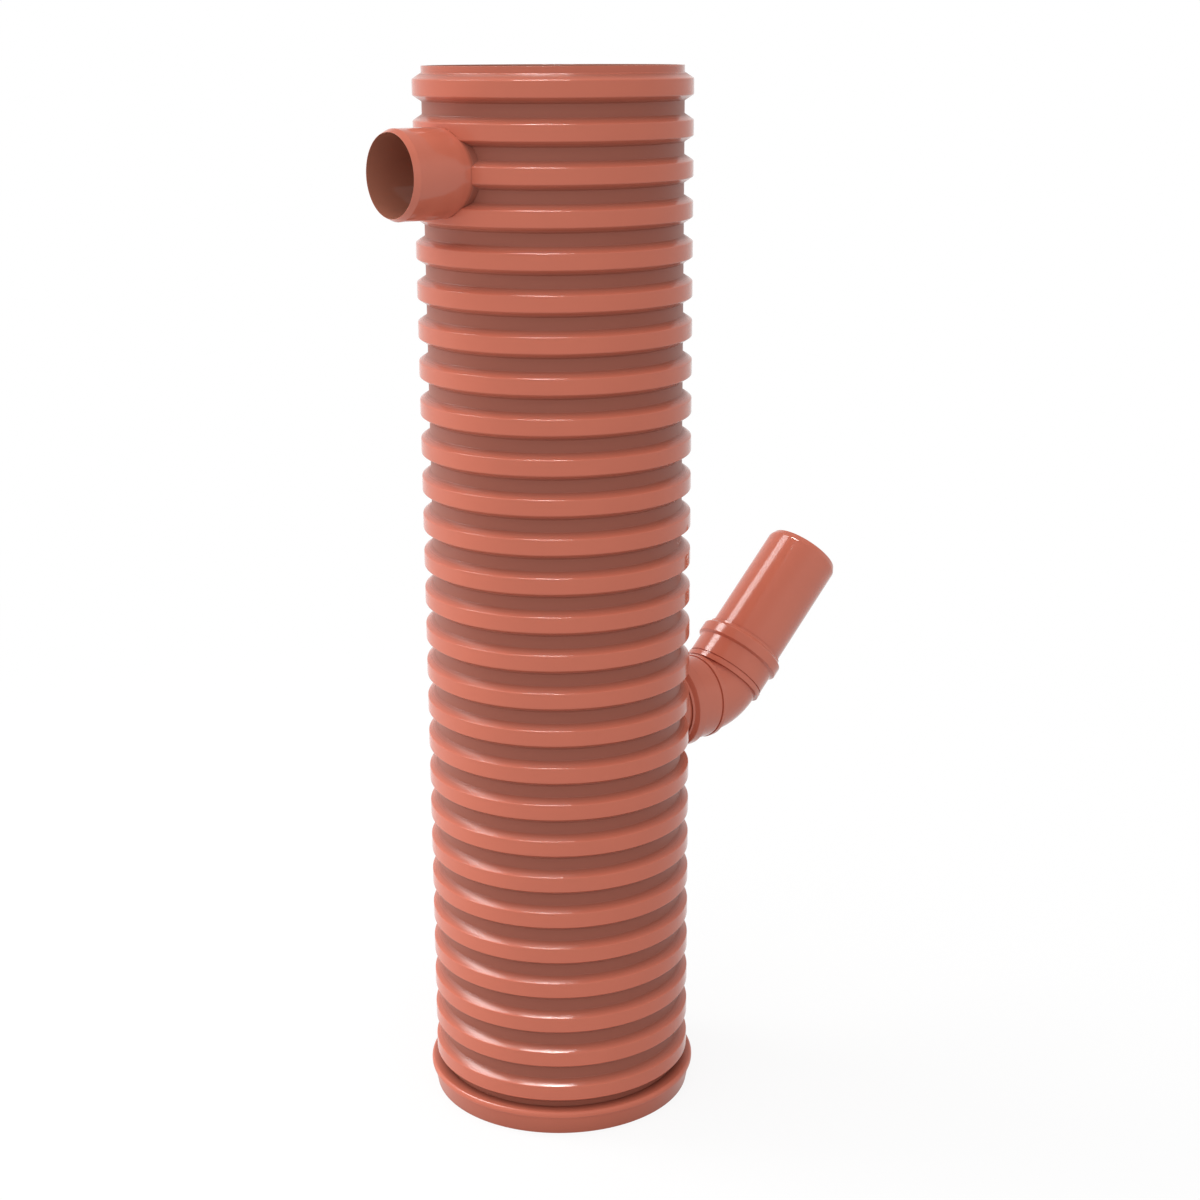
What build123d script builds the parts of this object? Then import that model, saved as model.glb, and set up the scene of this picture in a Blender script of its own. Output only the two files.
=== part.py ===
from build123d import *
import os
from math import hypot, radians, sqrt, tan

# A rainwater gully: a corrugated shaft on a moulded base, a spigot near its top that takes the
# rainwater, a sump below, and an outlet whose leg rises at 45 degrees, so that water stands in it.
# Millimetres. The origin is the centre of the base's underside, the outlet points to +X, the inlet to -X.

# Corrugated shaft, cut in a valley at both ends
crest_diameter = 353.0
crest_depth = 11.7
shaft_wall = 3.2
crest_pitch = 50.15
crest_count = 27
crest_flat = 19.6
valley_flat = 15.6
rim_to_crest = 25.9
foot_to_crest = 32.2

# Moulded base that the shaft's foot stands in; its flange stands out past the crests
base_height = 34.5
flange_reach = 7.7
flange_thickness = 8.0
flange_edge_round = 1.8
flange_lip = 2.5
skirt_draft = 4.9
skirt_wall = 4.0
seat_depth = 8.0
seat_clearance = 0.3
seat_ledge = 5.4
seat_web = 4.0
sump_wall = 4.5
floor_thickness = 5.0
base_rib_count = 8
base_rib_thickness = 3.0

# Plain pipe, one size for the inlet, the stub and the outlet leg
pipe_diameter = 110.0
pipe_wall = 4.4
chamfer_length = 7.6
chamfer_land = 0.5
pipe_protrusion = 4.0
hole_clearance = 0.3
shoulder_depth = 0.6
mark_width = 2.0
mark_depth = 0.6

# Where the inlet and the outlet lie, and what stands clear of the crests and of the bend
inlet_drop = 125.7
inlet_length = 72.3
outlet_height = 508.3
stub_length = 18.0
leg_length = 166.2

# Bend with a push-fit socket at each end
bend_angle = 45.0
bend_wall = 5.2
bend_side_gap = 1.7
collar_step = 1.0
collar_length = 12.6
socket_wall = 3.9
socket_clearance = 0.4
socket_length = 25.8
bead_height = 4.7
bead_wall = 3.3
bead_back = 2.4
bead_length = 14.8
bead_front = 4.6
lip_wall = 2.4
lip_length = 3.6
lip_lead_in = 1.6
stop_depth = 3.2
stop_gap = 0.3

# Rubber ring in each socket's bead
groove_offset = 1.4
ring_clearance = 0.3
ring_thickness = 2.8

crest_radius = crest_diameter / 2
valley_radius = crest_radius - crest_depth
shaft_bore = valley_radius - shaft_wall
flank_length = (crest_pitch - crest_flat - valley_flat) / 2
seat_z = base_height - seat_depth
rim_z = seat_z + foot_to_crest + (crest_count - 1) * crest_pitch + rim_to_crest
inlet_z = rim_z - inlet_drop
pipe_radius = pipe_diameter / 2
pipe_bore = pipe_radius - pipe_wall
pipe_tip = pipe_bore + chamfer_land
pipe_root = pipe_radius - shoulder_depth
pipe_inner_end = sqrt(shaft_bore ** 2 - pipe_radius ** 2) - pipe_protrusion
shoulder = crest_radius + hole_clearance

# Radii of the bend and its sockets
socket_bore = pipe_radius + socket_clearance
socket_radius = socket_bore + socket_wall
collar_radius = socket_radius + collar_step
bead_radius = socket_radius + bead_height
groove_radius = bead_radius - bead_wall
lip_radius = socket_bore + lip_wall
bend_radius = collar_radius + bend_side_gap

# Distances along a bend's arm, from the corner of its two axes to the mouth
arm_collar = bend_radius * tan(radians(bend_angle / 2))
arm_stop = arm_collar + stop_depth
arm_socket = arm_collar + collar_length
arm_bead = arm_socket + socket_length + bead_back
arm_groove = arm_bead + groove_offset
arm_bead_end = arm_bead + bead_length
arm_lip = arm_bead_end + bead_front
arm_mouth = arm_lip + lip_length
arm_pipe = arm_stop + stop_gap

inlet_reach = crest_radius + inlet_length
outlet_corner = crest_radius + stub_length + arm_mouth
outlet_leg = arm_mouth + leg_length
corner = Pos(outlet_corner, 0, outlet_height)
TO_OUTLET = Rot(0, 90, 0)
TO_INLET = Rot(0, -90, 0)
UP_THE_LEG = Rot(0, 90 - bend_angle, 0)


def turned(points):
    """Solid of revolution about Z from a closed outline of (radius, height) points."""
    return revolve(make_face(Polyline(*[(r, 0, z) for r, z in points], close=True)), Axis.Z)


def wall_line(offset):
    """Corrugated line from foot to rim, offset from the shaft's outside; negative is inwards."""
    shift = offset * (hypot(crest_depth, flank_length) - flank_length) / crest_depth
    valley = valley_radius + offset
    crest = crest_radius + offset
    half_crest = crest_flat / 2 + shift
    points = [(valley, seat_z)]
    for i in range(crest_count):
        z = seat_z + foot_to_crest + i * crest_pitch
        points += [(valley, z - half_crest - flank_length), (crest, z - half_crest),
                   (crest, z + half_crest), (valley, z + half_crest + flank_length)]
    return points + [(valley, rim_z)]


def shaft_pipe():
    """Single corrugated wall with a round hole for each pipe that passes through it."""
    shaft = turned(wall_line(0) + wall_line(-shaft_wall)[::-1])
    hole = Cylinder(pipe_root + hole_clearance, crest_radius, align=(Align.CENTER, Align.CENTER, Align.MIN))
    shaft -= Pos(0, 0, inlet_z) * TO_INLET * hole
    shaft -= Pos(0, 0, outlet_height) * TO_OUTLET * hole
    return shaft


def base_cap():
    """Shallow dish with a flange round the shaft's foot and a ribbed channel under the flange."""
    foot_bore = valley_radius + seat_clearance
    sump = foot_bore - seat_ledge
    web_z = seat_z - seat_web
    flange_z = base_height - flange_thickness
    flange = crest_radius + flange_reach
    skirt_top = flange - flange_lip
    skirt_foot = skirt_top - skirt_draft
    skirt_inner = skirt_foot - skirt_wall
    skirt_inner_top = skirt_inner + skirt_draft * web_z / flange_z
    base = turned([
        (0, 0), (sump + sump_wall, 0), (sump + sump_wall, web_z), (skirt_inner_top, web_z), (skirt_inner, 0),
        (skirt_foot, 0), (skirt_top, flange_z), (flange, flange_z), (flange, base_height),
        (foot_bore, base_height), (foot_bore, seat_z), (sump, seat_z), (sump, floor_thickness), (0, floor_thickness)])
    flange_edges = base.edges().filter_by(GeomType.CIRCLE).filter_by(lambda e: abs(e.radius - flange) < 0.01)
    base = fillet(flange_edges, flange_edge_round)
    overlap = skirt_wall / 2
    rib_outline = Polyline((sump + overlap, 0, 0), (skirt_inner + overlap, 0, 0),
                           (skirt_inner_top + overlap, 0, web_z), (sump + overlap, 0, web_z), close=True)
    rib = extrude(make_face(rib_outline), base_rib_thickness / 2, both=True)
    for i in range(base_rib_count):
        base += Rot(0, 0, 360 * i / base_rib_count) * rib
    return base


def wall_pipe(end):
    """Pipe along +Z from inside the shaft to end, turned down at its root for a shoulder against the wall."""
    return turned([
        (pipe_bore, pipe_inner_end), (pipe_root, pipe_inner_end), (pipe_root, shoulder), (pipe_radius, shoulder),
        (pipe_radius, end - chamfer_length), (pipe_tip, end), (pipe_bore, end)])


def leg_pipe():
    """Pipe along +Z from the socket's stop, with a shallow depth mark that lies in the socket's mouth."""
    marked = pipe_radius - mark_depth
    mark_start = arm_mouth - mark_width / 2
    mark_end = arm_mouth + mark_width / 2
    return turned([
        (pipe_bore, arm_pipe), (pipe_tip, arm_pipe), (pipe_radius, arm_pipe + chamfer_length),
        (pipe_radius, mark_start), (marked, mark_start), (marked, mark_end), (pipe_radius, mark_end),
        (pipe_radius, outlet_leg - chamfer_length), (pipe_tip, outlet_leg), (pipe_bore, outlet_leg)])


def bend_arm():
    """Outside and bore of one socket, along +Z from the corner of the bend's axes."""
    groove_end = arm_bead_end - groove_offset
    outside = turned([
        (0, arm_collar), (collar_radius, arm_collar), (collar_radius, arm_socket), (socket_radius, arm_socket),
        (socket_radius, arm_bead - bead_back), (bead_radius, arm_bead), (bead_radius, arm_bead_end),
        (lip_radius, arm_lip), (lip_radius, arm_mouth), (0, arm_mouth)])
    inside = turned([
        (0, arm_collar), (pipe_bore, arm_collar), (pipe_bore, arm_stop), (socket_bore, arm_stop),
        (socket_bore, arm_groove), (groove_radius, arm_groove), (groove_radius, groove_end),
        (socket_bore, groove_end), (socket_bore, arm_mouth - lip_lead_in),
        (socket_bore + lip_lead_in, arm_mouth), (0, arm_mouth)])
    return outside, inside


def elbow(radius):
    """Curved part of the bend, a disc of the given radius turned from one arm to the other."""
    section = Plane(origin=(-arm_collar, 0, 0), z_dir=(1, 0, 0)) * Circle(radius)
    return revolve(section, Axis((-arm_collar, 0, bend_radius), (0, -1, 0)), bend_angle)


def outlet_bend():
    """Bend with its two sockets and the stops that the pipes are pushed up to."""
    outside, inside = bend_arm()
    solid = elbow(pipe_bore + bend_wall) + TO_INLET * outside + UP_THE_LEG * outside
    solid -= elbow(pipe_bore)
    solid -= TO_INLET * inside
    solid -= UP_THE_LEG * inside
    return corner * solid


def socket_ring():
    """Rubber ring in a bead's groove: a flat band whose inner side rises to a lip against the pipe."""
    outer = groove_radius - ring_clearance
    band = outer - ring_thickness
    inner = pipe_radius + ring_clearance
    start = arm_groove + ring_clearance
    end = arm_bead_end - groove_offset - ring_clearance
    return turned([(outer, start), (outer, end), (band, end), (inner, (start + end) / 2), (band, start)])


nodes = {
    "shaft_pipe": shaft_pipe(),
    "base_cap": base_cap(),
    "inlet_spigot": Pos(0, 0, inlet_z) * TO_INLET * wall_pipe(inlet_reach),
    "outlet_stub": Pos(0, 0, outlet_height) * TO_OUTLET * wall_pipe(outlet_corner - arm_pipe),
    "outlet_bend": outlet_bend(),
    "stub_seal_ring": corner * TO_INLET * socket_ring(),
    "leg_seal_ring": corner * UP_THE_LEG * socket_ring(),
    "outlet_pipe": corner * UP_THE_LEG * leg_pipe(),
}

os.makedirs("parts", exist_ok=True)
for name, solid in nodes.items():
    export_step(solid, f"parts/{name}.step")
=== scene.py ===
import math
import bmesh
import bpy
from mathutils import Matrix, Vector


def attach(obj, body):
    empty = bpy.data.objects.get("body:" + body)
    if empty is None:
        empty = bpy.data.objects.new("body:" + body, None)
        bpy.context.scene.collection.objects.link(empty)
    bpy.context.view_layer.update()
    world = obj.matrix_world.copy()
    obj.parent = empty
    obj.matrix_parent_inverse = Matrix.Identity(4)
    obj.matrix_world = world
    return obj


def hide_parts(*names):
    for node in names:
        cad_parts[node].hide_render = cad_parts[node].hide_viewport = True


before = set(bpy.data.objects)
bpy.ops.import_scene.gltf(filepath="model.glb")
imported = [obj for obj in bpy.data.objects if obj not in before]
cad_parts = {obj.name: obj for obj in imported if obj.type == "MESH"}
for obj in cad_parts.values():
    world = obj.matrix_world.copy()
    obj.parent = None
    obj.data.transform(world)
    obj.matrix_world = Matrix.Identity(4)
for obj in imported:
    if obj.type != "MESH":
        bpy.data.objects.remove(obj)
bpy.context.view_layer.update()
scene = bpy.context.scene
MM = 0.001

# Corrugated shaft, in millimetres like the other sizes of the solids below
crest_radius = 176.5
crest_depth = 11.7
valley_radius = crest_radius - crest_depth
shaft_wall = 3.2
crest_pitch = 50.15
crest_count = 27
crest_flat = 19.6
flank_length = 7.475
first_crest_z = 58.7
shaft_foot_z = 26.5
rim_z = 1388.5

# Moulded base
base_height = 34.5
flange_radius = 184.2
flange_z = 26.5
skirt_top = 181.7
skirt_foot = 176.8
skirt_inner = 172.8
skirt_inner_top = 176.96
web_z = 22.5
foot_bore = 165.1
sump_outside = 164.2
sump_radius = 159.7
floor_thickness = 5.0
rib_count = 8
rib_inner = 162.0
rib_outer = 174.0
rib_thickness = 3.0

# Plain pipes: the inlet, and the outlet's leg with its depth mark in the mouth of the socket
pipe_radius = 55.0
pipe_bore = 50.6
pipe_tip = pipe_bore + 0.5
pipe_root = pipe_radius - 0.6
pipe_shoulder = crest_radius + 0.3
pipe_inner_end = 147.95
chamfer_length = 7.6
hole_radius = 54.7
inlet_z = 1262.8
inlet_reach = 248.8
outlet_z = 508.3
outlet_corner = 284.0
outlet_leg = 255.68
leg_start = 29.18
half_mark = 1.0

# Bend: its radii, then distances along an arm from the corner of the two axes
bend_angle = 45
bend_radius = 62.0
elbow_radius = 55.8
collar_radius = 60.3
socket_radius = 59.3
bead_radius = 64.0
lip_radius = 57.8
socket_bore = 55.4
groove_radius = 60.7
mouth_lead_in = 1.6
arm_collar = 25.68
arm_stop = 28.88
arm_socket_end = 64.08
arm_bead = 66.48
arm_groove = 67.88
arm_groove_end = 79.88
arm_bead_end = 81.28
arm_lip = 85.88
arm_mouth = 89.48

# Notch between the bend's collar and its socket, a form that the solid leaves out
notch_radius = 57.6
arm_notch = 33.0
arm_notch_end = 35.2

# Facets round each turned piece, and the angle in degrees from which an edge stays sharp
shaft_segments = 144
pipe_segments = 96
socket_segments = 112
hole_segments = 128
sharp_angle = 32

# Camera, where the photograph was taken from: metres, degrees, pixels, and its sensor in millimetres
VIEW_AZIMUTH = 38.3
view_distance = 2.5932
view_height = 1.4064
view_pitch = 15.329
view_yaw = 1.247
view_roll = 0.201
view_end = 100
focal_pixels = 2006.9
photo_pixels = 1200
sensor_width = 36

# Plastic's surface: clouds of colour and gloss, and a skin whose depth is in millimetres
cloud_scale = 9
cloud_detail = 4
tint_spread = 0.05
gloss_spread = 0.02
skin_scale = 160
skin_detail = 2
skin_depth = 0.5

# Painted shade in recesses: how much duller the shaded surface turns, how unshaded a surface is where
# that dulling ends, and the band at the rim that stays mostly unshaded
recess_roughness = 0.3
dull_end = 0.8
rim_band = (rim_z - 12, rim_z - 8)
rim_unshaded_share = 0.75


def from_view(v):
    """Turns a direction seen from the camera's side (right, away, up) into the model's frame."""
    return Matrix.Rotation(math.radians(-VIEW_AZIMUTH), 3, "Z") @ Vector(v)


def add_camera():
    """Camera with the photograph's place, direction and angle of view."""
    pitch, yaw, roll = (math.radians(angle) for angle in (view_pitch, view_yaw, view_roll))
    forward = Vector((math.sin(yaw) * math.cos(pitch), math.cos(yaw) * math.cos(pitch),
                      -math.sin(pitch)))
    level_right = Vector((math.cos(yaw), -math.sin(yaw), 0))
    level_down = forward.cross(level_right)
    right = math.cos(roll) * level_right + math.sin(roll) * level_down
    down = math.cos(roll) * level_down - math.sin(roll) * level_right
    axes = [from_view(v) for v in (right, -down, -forward)]
    place = from_view((0, -view_distance, view_height))
    data = bpy.data.cameras.new("camera")
    data.sensor_width = sensor_width
    data.lens = focal_pixels * sensor_width / photo_pixels
    data.clip_end = view_end
    camera = bpy.data.objects.new("camera", data)
    rows = [[*[axis[i] for axis in axes], place[i]] for i in range(3)]
    camera.matrix_world = Matrix(rows + [[0, 0, 0, 1]])
    scene.collection.objects.link(camera)
    scene.camera = camera


def add_softbox(name, azimuth, elevation, distance, width, height, power, aim=0.6,
                diffuse=True, gloss=True, only=None):
    """Rectangular lamp, its azimuth counted from straight away from the camera, that faces a point
    on the shaft's axis, aim metres up.

    only lists the pieces that it lights, so that it leaves no stray glint on the others."""
    data = bpy.data.lights.new(name, "AREA")
    data.shape = "RECTANGLE"
    data.size = width
    data.size_y = height
    data.energy = power
    turn, rise = math.radians(azimuth), math.radians(elevation)
    direction = from_view((math.sin(turn) * math.cos(rise), math.cos(turn) * math.cos(rise),
                           math.sin(rise)))
    lamp = bpy.data.objects.new(name, data)
    lamp.location = direction * distance + Vector((0, 0, aim))
    lamp.rotation_euler = direction.to_track_quat("Z", "Y").to_euler()
    lamp.visible_diffuse = diffuse
    lamp.visible_glossy = gloss
    if only:
        lit = bpy.data.collections.new(name)
        for piece in only:
            lit.objects.link(piece)
        lamp.light_linking.receiver_collection = lit
    scene.collection.objects.link(lamp)


def new_node(tree, kind, inputs, **settings):
    """Shader node with its settings; an input takes a value, or a link where an output is given."""
    node = tree.nodes.new(kind)
    for name, value in settings.items():
        setattr(node, name, value)
    for name, value in inputs.items():
        if isinstance(value, bpy.types.NodeSocket):
            tree.links.new(value, node.inputs[name])
        else:
            node.inputs[name].default_value = value
    return node


def shaded_and_dull(tree, place, colour, dull, shade_colour, band):
    """Colour and roughness of a surface: painted shade darkens it and it turns duller towards the shaft's
    axis, but much less so at the shaft's rim."""
    flat = new_node(tree, "ShaderNodeVectorMath", {0: place, 1: (1, 1, 0)}, operation="MULTIPLY")
    radius = new_node(tree, "ShaderNodeVectorMath", {0: flat.outputs["Vector"]}, operation="LENGTH")
    outer = new_node(tree, "ShaderNodeMapRange", {
        "Value": radius.outputs["Value"], "From Min": band[0] * MM, "From Max": band[1] * MM})
    height = new_node(tree, "ShaderNodeSeparateXYZ", {"Vector": place})
    rim = new_node(tree, "ShaderNodeMapRange", {
        "Value": height.outputs["Z"], "From Min": rim_band[0] * MM, "From Max": rim_band[1] * MM,
        "To Max": rim_unshaded_share})
    unshaded = new_node(tree, "ShaderNodeMath", {0: outer.outputs["Result"], 1: rim.outputs["Result"]},
                     operation="MAXIMUM")
    # Painted shade: the colour is mixed towards shade_colour where the surface is least unshaded
    shade = new_node(tree, "ShaderNodeMix", {
        "Factor": unshaded.outputs["Value"], "A": (*shade_colour, 1), "B": colour}, data_type="RGBA")
    extra = new_node(tree, "ShaderNodeMapRange", {
        "Value": unshaded.outputs["Value"], "From Max": dull_end, "To Min": recess_roughness, "To Max": 0})
    rough = new_node(tree, "ShaderNodeMath", {0: dull, 1: extra.outputs["Result"]}, operation="ADD")
    return shade.outputs["Result"], rough.outputs["Value"]


def plastic(name, colour, roughness, shade_colour=None, band=None, grain=0.006, ior=1.3):
    """Moulded plastic or rubber: faint cloudy colour, uneven gloss and a fine skin texture.

    Where shade_colour is given, the material takes that colour as painted shade and turns dull inwards
    across band, two distances in millimetres from the shaft's axis, as in the shaft's valleys."""
    material = bpy.data.materials.new(name)
    material.use_nodes = True
    tree = material.node_tree
    place = new_node(tree, "ShaderNodeTexCoord", {}).outputs["Object"]
    cloud = new_node(tree, "ShaderNodeTexNoise", {
        "Vector": place, "Scale": cloud_scale, "Detail": cloud_detail})
    tint = new_node(tree, "ShaderNodeMix", {
        "Factor": cloud.outputs["Fac"],
        "A": (*[c * (1 - tint_spread) for c in colour], 1),
        "B": (*[c * (1 + tint_spread) for c in colour], 1)}, data_type="RGBA")
    gloss = new_node(tree, "ShaderNodeMapRange", {
        "Value": cloud.outputs["Fac"],
        "To Min": roughness - gloss_spread, "To Max": roughness + gloss_spread})
    skin = new_node(tree, "ShaderNodeTexNoise", {
        "Vector": place, "Scale": skin_scale, "Detail": skin_detail})
    bump = new_node(tree, "ShaderNodeBump", {
        "Height": skin.outputs["Fac"], "Strength": grain, "Distance": skin_depth * MM})
    surface = tint.outputs["Result"]
    dull = gloss.outputs["Result"]
    if shade_colour:
        surface, dull = shaded_and_dull(tree, place, surface, dull, shade_colour, band)
    shader = tree.nodes["Principled BSDF"]
    shader.inputs["IOR"].default_value = ior
    tree.links.new(surface, shader.inputs["Base Color"])
    tree.links.new(dull, shader.inputs["Roughness"])
    tree.links.new(bump.outputs["Normal"], shader.inputs["Normal"])
    return material


def rounded(points, steps=3, largest_share=0.48):
    """Closed outline of (radius, height) points from corners of (radius, height, rounding).

    A rounding takes no more than largest_share of the sides that it joins."""
    outline = []
    for i, (r, z, rounding) in enumerate(points):
        here = Vector((r, z))
        before = Vector(points[i - 1][:2]) - here
        after = Vector(points[(i + 1) % len(points)][:2]) - here
        if not rounding:
            outline.append(here)
            continue
        half = before.angle(after) / 2
        reach = min(rounding / math.tan(half), largest_share * before.length,
                    largest_share * after.length)
        rounding = reach * math.tan(half)
        inwards = (before.normalized() + after.normalized()).normalized()
        centre = here + inwards * rounding / math.sin(half)
        start = here + before.normalized() * reach - centre
        end = here + after.normalized() * reach - centre
        for k in range(steps + 1):
            outline.append(centre + rounding * start.slerp(end, k / steps))
    return outline


def lathe(outline, segments):
    """Mesh turned about Z from a closed outline in millimetres."""
    mesh = bmesh.new()
    rings = []
    for k in range(segments):
        turn = 2 * math.pi * k / segments
        rings.append([mesh.verts.new((p.x * math.cos(turn) * MM, p.x * math.sin(turn) * MM, p.y * MM))
                      for p in outline])
    for k, ring in enumerate(rings):
        following = rings[(k + 1) % segments]
        for i in range(len(outline)):
            j = (i + 1) % len(outline)
            mesh.faces.new((ring[i], following[i], following[j], ring[j]))
    return mesh


def elbow_tube(outer, inner, steps=24):
    """Curved tube of the bend, in its own frame with the corner of the axes at the origin."""
    mesh = bmesh.new()
    centre = Vector((-arm_collar, 0, bend_radius))
    sideways = Vector((0, 1, 0))
    rings = []
    for k in range(steps + 1):
        turn = math.radians(bend_angle) * k / steps
        across = Vector((-math.sin(turn), 0, math.cos(turn)))
        middle = centre - across * bend_radius
        for radius in (outer, inner):
            ring = []
            for s in range(pipe_segments):
                angle = 2 * math.pi * s / pipe_segments
                spoke = math.cos(angle) * across + math.sin(angle) * sideways
                ring.append(mesh.verts.new((middle + radius * spoke) * MM))
            rings.append(ring)
    walls = list(zip(rings, rings[2:]))
    ends = [rings[:2], rings[-2:]]
    for one, other in walls + ends:
        for s in range(pipe_segments):
            t = (s + 1) % pipe_segments
            mesh.faces.new((one[s], one[t], other[t], other[s]))
    return mesh


def smooth(piece):
    """Smooth shading that keeps sharp edges and leans on the large faces, so that it turns only in
    the roundings between them."""
    piece.data.shade_smooth()
    piece.data.set_sharp_from_angle(angle=math.radians(sharp_angle))
    normals = piece.modifiers.new("normals", "WEIGHTED_NORMAL")
    normals.keep_sharp = True


def add_piece(name, mesh, place, material, slot, *nodes, bore=None, least_lean=0.2):
    """Object from a bmesh that stands for the named solids.

    bore is the material of its inside: the faces that lean towards its axis by least_lean."""
    bmesh.ops.recalc_face_normals(mesh, faces=mesh.faces)
    data = bpy.data.meshes.new(name)
    mesh.to_mesh(data)
    mesh.free()
    data.materials.append(material)
    # The faces of the inside take the bore material, which holds painted shade
    if bore:
        data.materials.append(bore)
        for face in data.polygons:
            out = Vector((face.center.x, face.center.y))
            if out.dot(face.normal.xy) < -least_lean * out.length:
                face.material_index = 1
    data.transform(place)
    piece = bpy.data.objects.new(name, data)
    scene.collection.objects.link(piece)
    smooth(piece)
    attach(piece, "root")
    if nodes:
        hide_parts(*nodes)
    return piece


def along(origin, direction):
    """Matrix that lays a turned piece's Z axis along a direction in the XZ plane."""
    turn = math.atan2(direction[0], direction[1])
    return Matrix.Translation(Vector(origin) * MM) @ Matrix.Rotation(turn, 4, "Y")


def shaft_outline(crest_rounding=2.2, valley_rounding=1.6, rim_rounding=0.5):
    """Outline of the corrugated wall, its outside rounded at every crest and valley."""
    shift = -shaft_wall * (math.hypot(crest_depth, flank_length) - flank_length) / crest_depth
    half_flat = crest_flat / 2
    outside = [(valley_radius, shaft_foot_z, 0)]
    inside = [(valley_radius - shaft_wall, shaft_foot_z, 0)]
    for i in range(crest_count):
        z = first_crest_z + i * crest_pitch
        for line, offset, half, crest_round, valley_round in (
                (outside, 0, half_flat, crest_rounding, valley_rounding),
                (inside, -shaft_wall, half_flat + shift, 0, 0)):
            line += [(valley_radius + offset, z - half - flank_length, valley_round),
                     (crest_radius + offset, z - half, crest_round),
                     (crest_radius + offset, z + half, crest_round),
                     (valley_radius + offset, z + half + flank_length, valley_round)]
    outside.append((valley_radius, rim_z, rim_rounding))
    inside.append((valley_radius - shaft_wall, rim_z, rim_rounding))
    return rounded(outside + inside[::-1])


def cut_holes(piece, length=120, middle=160):
    """Cuts the holes for the two pipes out of the shaft and keeps the result as plain mesh.

    length is the cutters' length, and middle their distance from the shaft's axis, in millimetres."""
    piece.modifiers.clear()
    cutters = []
    for height, side in ((inlet_z, -1), (outlet_z, 1)):
        mesh = bmesh.new()
        bmesh.ops.create_cone(mesh, cap_ends=True, segments=hole_segments, radius1=hole_radius * MM,
                              radius2=hole_radius * MM, depth=length * MM)
        data = bpy.data.meshes.new("cutter")
        mesh.to_mesh(data)
        mesh.free()
        cutter = bpy.data.objects.new("cutter", data)
        place = Matrix.Translation((side * middle * MM, 0, height * MM))
        cutter.matrix_world = place @ Matrix.Rotation(math.pi / 2, 4, "Y")
        scene.collection.objects.link(cutter)
        cut = piece.modifiers.new("hole", "BOOLEAN")
        cut.operation = "DIFFERENCE"
        cut.solver = "EXACT"
        cut.object = cutter
        cutters.append(cutter)
    bpy.context.view_layer.update()
    evaluated = piece.evaluated_get(bpy.context.evaluated_depsgraph_get())
    result = bpy.data.meshes.new_from_object(evaluated)
    piece.modifiers.clear()
    piece.data = result
    smooth(piece)
    for cutter in cutters:
        bpy.data.objects.remove(cutter)


def arm_outline():
    """Outline of one socket of the bend, with its collar, notch, bead, lip and ring groove."""
    return rounded([
        (pipe_bore, arm_collar, 0), (collar_radius, arm_collar, 0.6), (collar_radius, arm_notch, 0.6),
        (notch_radius, arm_notch, 0), (notch_radius, arm_notch_end, 0),
        (socket_radius, arm_notch_end, 0.3), (socket_radius, arm_socket_end, 1.2),
        (bead_radius, arm_bead, 1.4), (bead_radius, arm_bead_end, 2.0),
        (lip_radius, arm_lip, 1.2), (lip_radius, arm_mouth, 0.7),
        (socket_bore + mouth_lead_in, arm_mouth, 0.3), (socket_bore, arm_mouth - mouth_lead_in, 0.3),
        (socket_bore, arm_groove_end, 0), (groove_radius, arm_groove_end, 0),
        (groove_radius, arm_groove, 0), (socket_bore, arm_groove, 0),
        (socket_bore, arm_stop, 0), (pipe_bore, arm_stop, 0)])


def spigot_outline(start, end):
    """Outline of the inlet: turned down at its root, with a lead-in chamfer at its end."""
    return rounded([
        (pipe_bore, start, 0), (pipe_root, start, 0), (pipe_root, pipe_shoulder, 0),
        (pipe_radius, pipe_shoulder, 0.2), (pipe_radius, end - chamfer_length, 2.5),
        (pipe_tip, end, 0.25), (pipe_bore, end, 0.2)])


def leg_outline(start, end):
    """Outline of the outlet's leg: chamfered at both ends, with its shallow depth mark."""
    return rounded([
        (pipe_bore, start, 0), (pipe_tip, start, 0), (pipe_radius, start + chamfer_length, 0),
        (pipe_radius, arm_mouth - half_mark, 0), (pipe_root, arm_mouth - half_mark, 0),
        (pipe_root, arm_mouth + half_mark, 0), (pipe_radius, arm_mouth + half_mark, 0.2),
        (pipe_radius, end - chamfer_length, 10), (pipe_tip, end, 0.25), (pipe_bore, end, 0.2)])


def base_outline():
    """Outline of the base: sump, skirt, the flange with its rounded rim, and the shaft's ledge."""
    return rounded([
        (0, 0, 0), (sump_outside, 0, 0.6), (sump_outside, web_z, 0), (skirt_inner_top, web_z, 0),
        (skirt_inner, 0, 0.5), (skirt_foot, 0, 1.0), (skirt_top, flange_z, 0.8),
        (flange_radius, flange_z, 1.2), (flange_radius, base_height, 5.5),
        (foot_bore, base_height, 0.8), (foot_bore, shaft_foot_z, 0), (sump_radius, shaft_foot_z, 0.8),
        (sump_radius, floor_thickness, 1.5), (0, floor_thickness, 0)])


def base_mesh(same_place=1e-6):
    """Base with the ribs in the channel under its flange; vertices closer than same_place metres,
    on its axis, become one."""
    mesh = lathe(base_outline(), shaft_segments)
    bmesh.ops.remove_doubles(mesh, verts=mesh.verts, dist=same_place)
    size = Vector((rib_outer - rib_inner, rib_thickness, web_z)) * MM
    middle = Vector(((rib_outer + rib_inner) / 2, 0, web_z / 2)) * MM
    for i in range(rib_count):
        rib = bmesh.ops.create_cube(mesh, size=1)["verts"]
        turn = Matrix.Rotation(2 * math.pi * i / rib_count, 4, "Z")
        place = turn @ Matrix.Translation(middle) @ Matrix.Diagonal(size).to_4x4()
        bmesh.ops.transform(mesh, matrix=place, verts=rib)
    return mesh


def grey(level):
    """Colour of an even grey."""
    return (level, level, level, 1)


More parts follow.
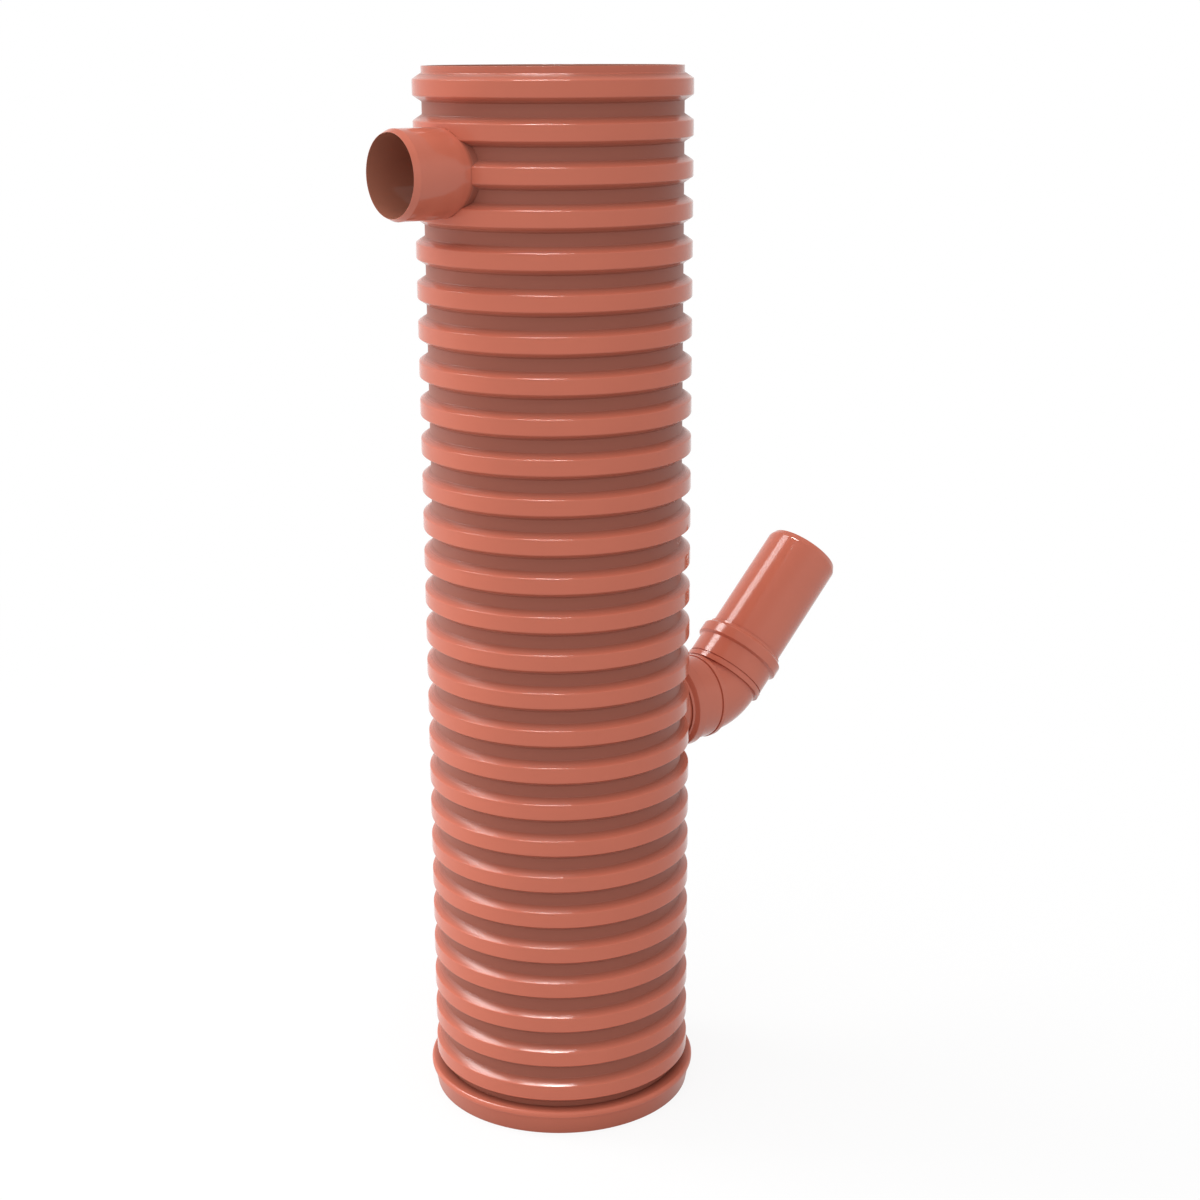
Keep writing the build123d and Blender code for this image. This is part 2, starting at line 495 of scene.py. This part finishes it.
def white_for_seen_rays(tree):
    """Value that is 1 for camera, glossy and transmission rays, and 0 for those that only carry light."""
    ray = new_node(tree, "ShaderNodeLightPath", {})
    direct = new_node(tree, "ShaderNodeMath", {
        0: ray.outputs["Is Camera Ray"], 1: ray.outputs["Is Glossy Ray"]}, operation="MAXIMUM")
    seen = new_node(tree, "ShaderNodeMath", {
        0: direct.outputs["Value"], 1: ray.outputs["Is Transmission Ray"]}, operation="MAXIMUM")
    return seen.outputs["Value"]


def floor_paper(carried_tone=0.5, seen_tone=0.95, whiteness=0.88, shadow_reach=0.6, white_reach=3):
    """Pale paper, greyer for the rays that only carry light.

    For the others plain white covers it, by the share whiteness as far as shadow_reach metres from
    the object's foot and all of it from white_reach on, so that a soft shadow stays under the object."""
    material = bpy.data.materials.new("floor")
    material.use_nodes = True
    tree = material.node_tree
    tree.nodes.clear()
    seen = white_for_seen_rays(tree)
    tone = new_node(tree, "ShaderNodeMix", {
        "Factor": seen, "A": grey(carried_tone), "B": grey(seen_tone)}, data_type="RGBA")
    paper = new_node(tree, "ShaderNodeBsdfDiffuse", {"Color": tone.outputs["Result"]})
    white = new_node(tree, "ShaderNodeEmission", {})
    place = new_node(tree, "ShaderNodeTexCoord", {})
    reach = new_node(tree, "ShaderNodeVectorMath", {0: place.outputs["Object"]}, operation="LENGTH")
    fade = new_node(tree, "ShaderNodeMapRange", {
        "Value": reach.outputs["Value"], "From Min": shadow_reach, "From Max": white_reach,
        "To Min": whiteness})
    share = new_node(tree, "ShaderNodeMath", {0: seen, 1: fade.outputs["Result"]}, operation="MULTIPLY")
    mix = new_node(tree, "ShaderNodeMixShader", {
        0: share.outputs["Value"], 1: paper.outputs["BSDF"], 2: white.outputs["Emission"]})
    new_node(tree, "ShaderNodeOutputMaterial", {"Surface": mix.outputs["Shader"]})
    return material


def add_floor(half_size=90, drop=0.5):
    """Floor that reaches half_size metres to each side and lies drop millimetres below the object."""
    mesh = bmesh.new()
    bmesh.ops.create_grid(mesh, x_segments=1, y_segments=1, size=half_size)
    data = bpy.data.meshes.new("floor")
    mesh.to_mesh(data)
    mesh.free()
    data.materials.append(floor_paper())
    floor = bpy.data.objects.new("floor", data)
    floor.location.z = -drop * MM
    scene.collection.objects.link(floor)


def add_world(level, left, front, up, darkest=0.1, horizon=0.3, overhead=0.75, ceiling=0.5):
    """Studio round the object, in two parts.

    Rays that see it find a white horizon, which fades to the strength ceiling between the heights
    horizon and overhead, counted from 0 on the level to 1 straight up. Rays that only carry light
    find a fill of the strength level, stronger by the three shares to the left, to the front and
    above, and nowhere below darkest."""
    world = bpy.data.worlds.new("studio")
    world.use_nodes = True
    scene.world = world
    tree = world.node_tree
    tree.nodes.clear()
    direction = new_node(tree, "ShaderNodeTexCoord", {}).outputs["Generated"]
    lean = new_node(tree, "ShaderNodeVectorMath", {
        0: direction, 1: from_view((-left, -front, up))}, operation="DOT_PRODUCT")
    fill = new_node(tree, "ShaderNodeMath", {0: lean.outputs["Value"], 1: level}, operation="ADD")
    strength = new_node(tree, "ShaderNodeMath", {0: fill.outputs["Value"], 1: darkest},
                        operation="MAXIMUM")
    soft = new_node(tree, "ShaderNodeBackground", {
        "Color": grey(1), "Strength": strength.outputs["Value"]})
    height = new_node(tree, "ShaderNodeSeparateXYZ", {"Vector": direction})
    fade = new_node(tree, "ShaderNodeMapRange", {
        "Value": height.outputs["Z"], "From Min": horizon, "From Max": overhead,
        "To Min": 1, "To Max": ceiling}, interpolation_type="SMOOTHSTEP")
    white = new_node(tree, "ShaderNodeBackground", {
        "Color": grey(1), "Strength": fade.outputs["Result"]})
    mix = new_node(tree, "ShaderNodeMixShader", {
        0: white_for_seen_rays(tree), 1: soft.outputs["Background"], 2: white.outputs["Background"]})
    new_node(tree, "ShaderNodeOutputWorld", {"Surface": mix.outputs["Shader"]})


# Studio
scene.view_settings.view_transform = "Standard"
add_camera()
add_world(level=0.58, left=0.24, front=0.52, up=0.5)
add_floor()
left_window = dict(azimuth=-72, elevation=52, distance=12, width=3.3, height=5.6)
add_softbox("left_key", **left_window, power=290)
add_softbox("left_gleam", **left_window, power=2700, diffuse=False)
add_softbox("low_fill", azimuth=-78, elevation=5, distance=1.8, width=1.0, height=0.8, power=12,
            aim=0.4, gloss=False)

# Plastics and rubber
orange = (0.6, 0.164, 0.103)
# Darker orange for the inside faces of the shaft and the pipes: painted shade in the bores
painted_bore_shade = (0.4, 0.155, 0.1)
# Colour of the painted shade in the shaft's valleys and where the pipes run into them
painted_valley_shade = (0.335, 0.108, 0.073)
# Colour of the painted shade on the base, darkest at the shaft's foot and fading out towards the flange's
# rim
painted_base_shade = (0.2, 0.062, 0.04)
black = (0.02, 0.02, 0.02)
# The shaft's valleys get painted shade, darkest at the valley floor
shaft_plastic = plastic("shaft_plastic", orange, roughness=0.13, shade_colour=painted_valley_shade,
                        band=(valley_radius, crest_radius))
# Material of the inside faces, darker as painted shade
bore_shaded_plastic = plastic("bore_shaded_plastic", painted_bore_shade, roughness=0.07)
# The base gets painted shade from the shaft's foot out to the flange's rim
base_plastic = plastic("base_plastic", orange, roughness=0.3, shade_colour=painted_base_shade, band=(164, 184))
# The pipes get painted shade where they meet the shaft's wall and run into its valleys
pipe_plastic = plastic("pipe_plastic", orange, roughness=0.08, shade_colour=painted_valley_shade,
                       band=(crest_radius - 5, crest_radius + 2), grain=0.001, ior=1.42)
bend_plastic = plastic("bend_plastic", orange, roughness=0.1, grain=0.002, ior=1.42)
seal_rubber = plastic("seal_rubber", black, roughness=0.6)

# Shaft
upright = Matrix.Identity(4)
shaft = add_piece("shaft_skin", lathe(shaft_outline(), shaft_segments), upright,
                  shaft_plastic, "shaft_plastic", "shaft_pipe", bore=bore_shaded_plastic)
cut_holes(shaft)

# Inlet and the outlet's leg
to_inlet = (-1, 0)
up_leg = (math.cos(math.radians(bend_angle)), math.sin(math.radians(bend_angle)))
bend_corner = (outlet_corner, 0, outlet_z)
add_piece("inlet_pipe", lathe(spigot_outline(pipe_inner_end, inlet_reach), pipe_segments),
          along((0, 0, inlet_z), to_inlet), pipe_plastic, "pipe_plastic", "inlet_spigot",
          bore=bore_shaded_plastic)
outlet = add_piece("outlet_leg", lathe(leg_outline(leg_start, outlet_leg), pipe_segments),
                   along(bend_corner, up_leg), pipe_plastic, "pipe_plastic", "outlet_pipe",
                   bore=bore_shaded_plastic)

# Bend, in three pieces for one solid
add_piece("bend_lower_socket", lathe(arm_outline(), socket_segments), along(bend_corner, to_inlet),
          bend_plastic, "bend_plastic", "outlet_bend")
add_piece("bend_upper_socket", lathe(arm_outline(), socket_segments), along(bend_corner, up_leg),
          bend_plastic, "bend_plastic")
add_piece("bend_elbow", elbow_tube(elbow_radius, pipe_bore),
          Matrix.Translation(Vector(bend_corner) * MM), bend_plastic, "bend_plastic")

# Base
add_piece("base_shell", base_mesh(), upright, base_plastic, "base_plastic", "base_cap")

# Stub and seal rings, whose solids stay
finishes = {"outlet_stub": pipe_plastic, "stub_seal_ring": seal_rubber, "leg_seal_ring": seal_rubber}
for name, material in finishes.items():
    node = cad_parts[name]
    node.data.materials.clear()
    node.data.materials.append(material)

# Lamps for the glints on the top crest and along the crests' edges
add_softbox("rim_gleam", azimuth=190, elevation=66, distance=1.15, width=0.6, height=0.3, power=34,
            aim=1.35, diffuse=False, only=[shaft])
add_softbox("edge_gleam", azimuth=-130, elevation=77, distance=12, width=4.5, height=4.0, power=1900,
            diffuse=False, only=[shaft, outlet])
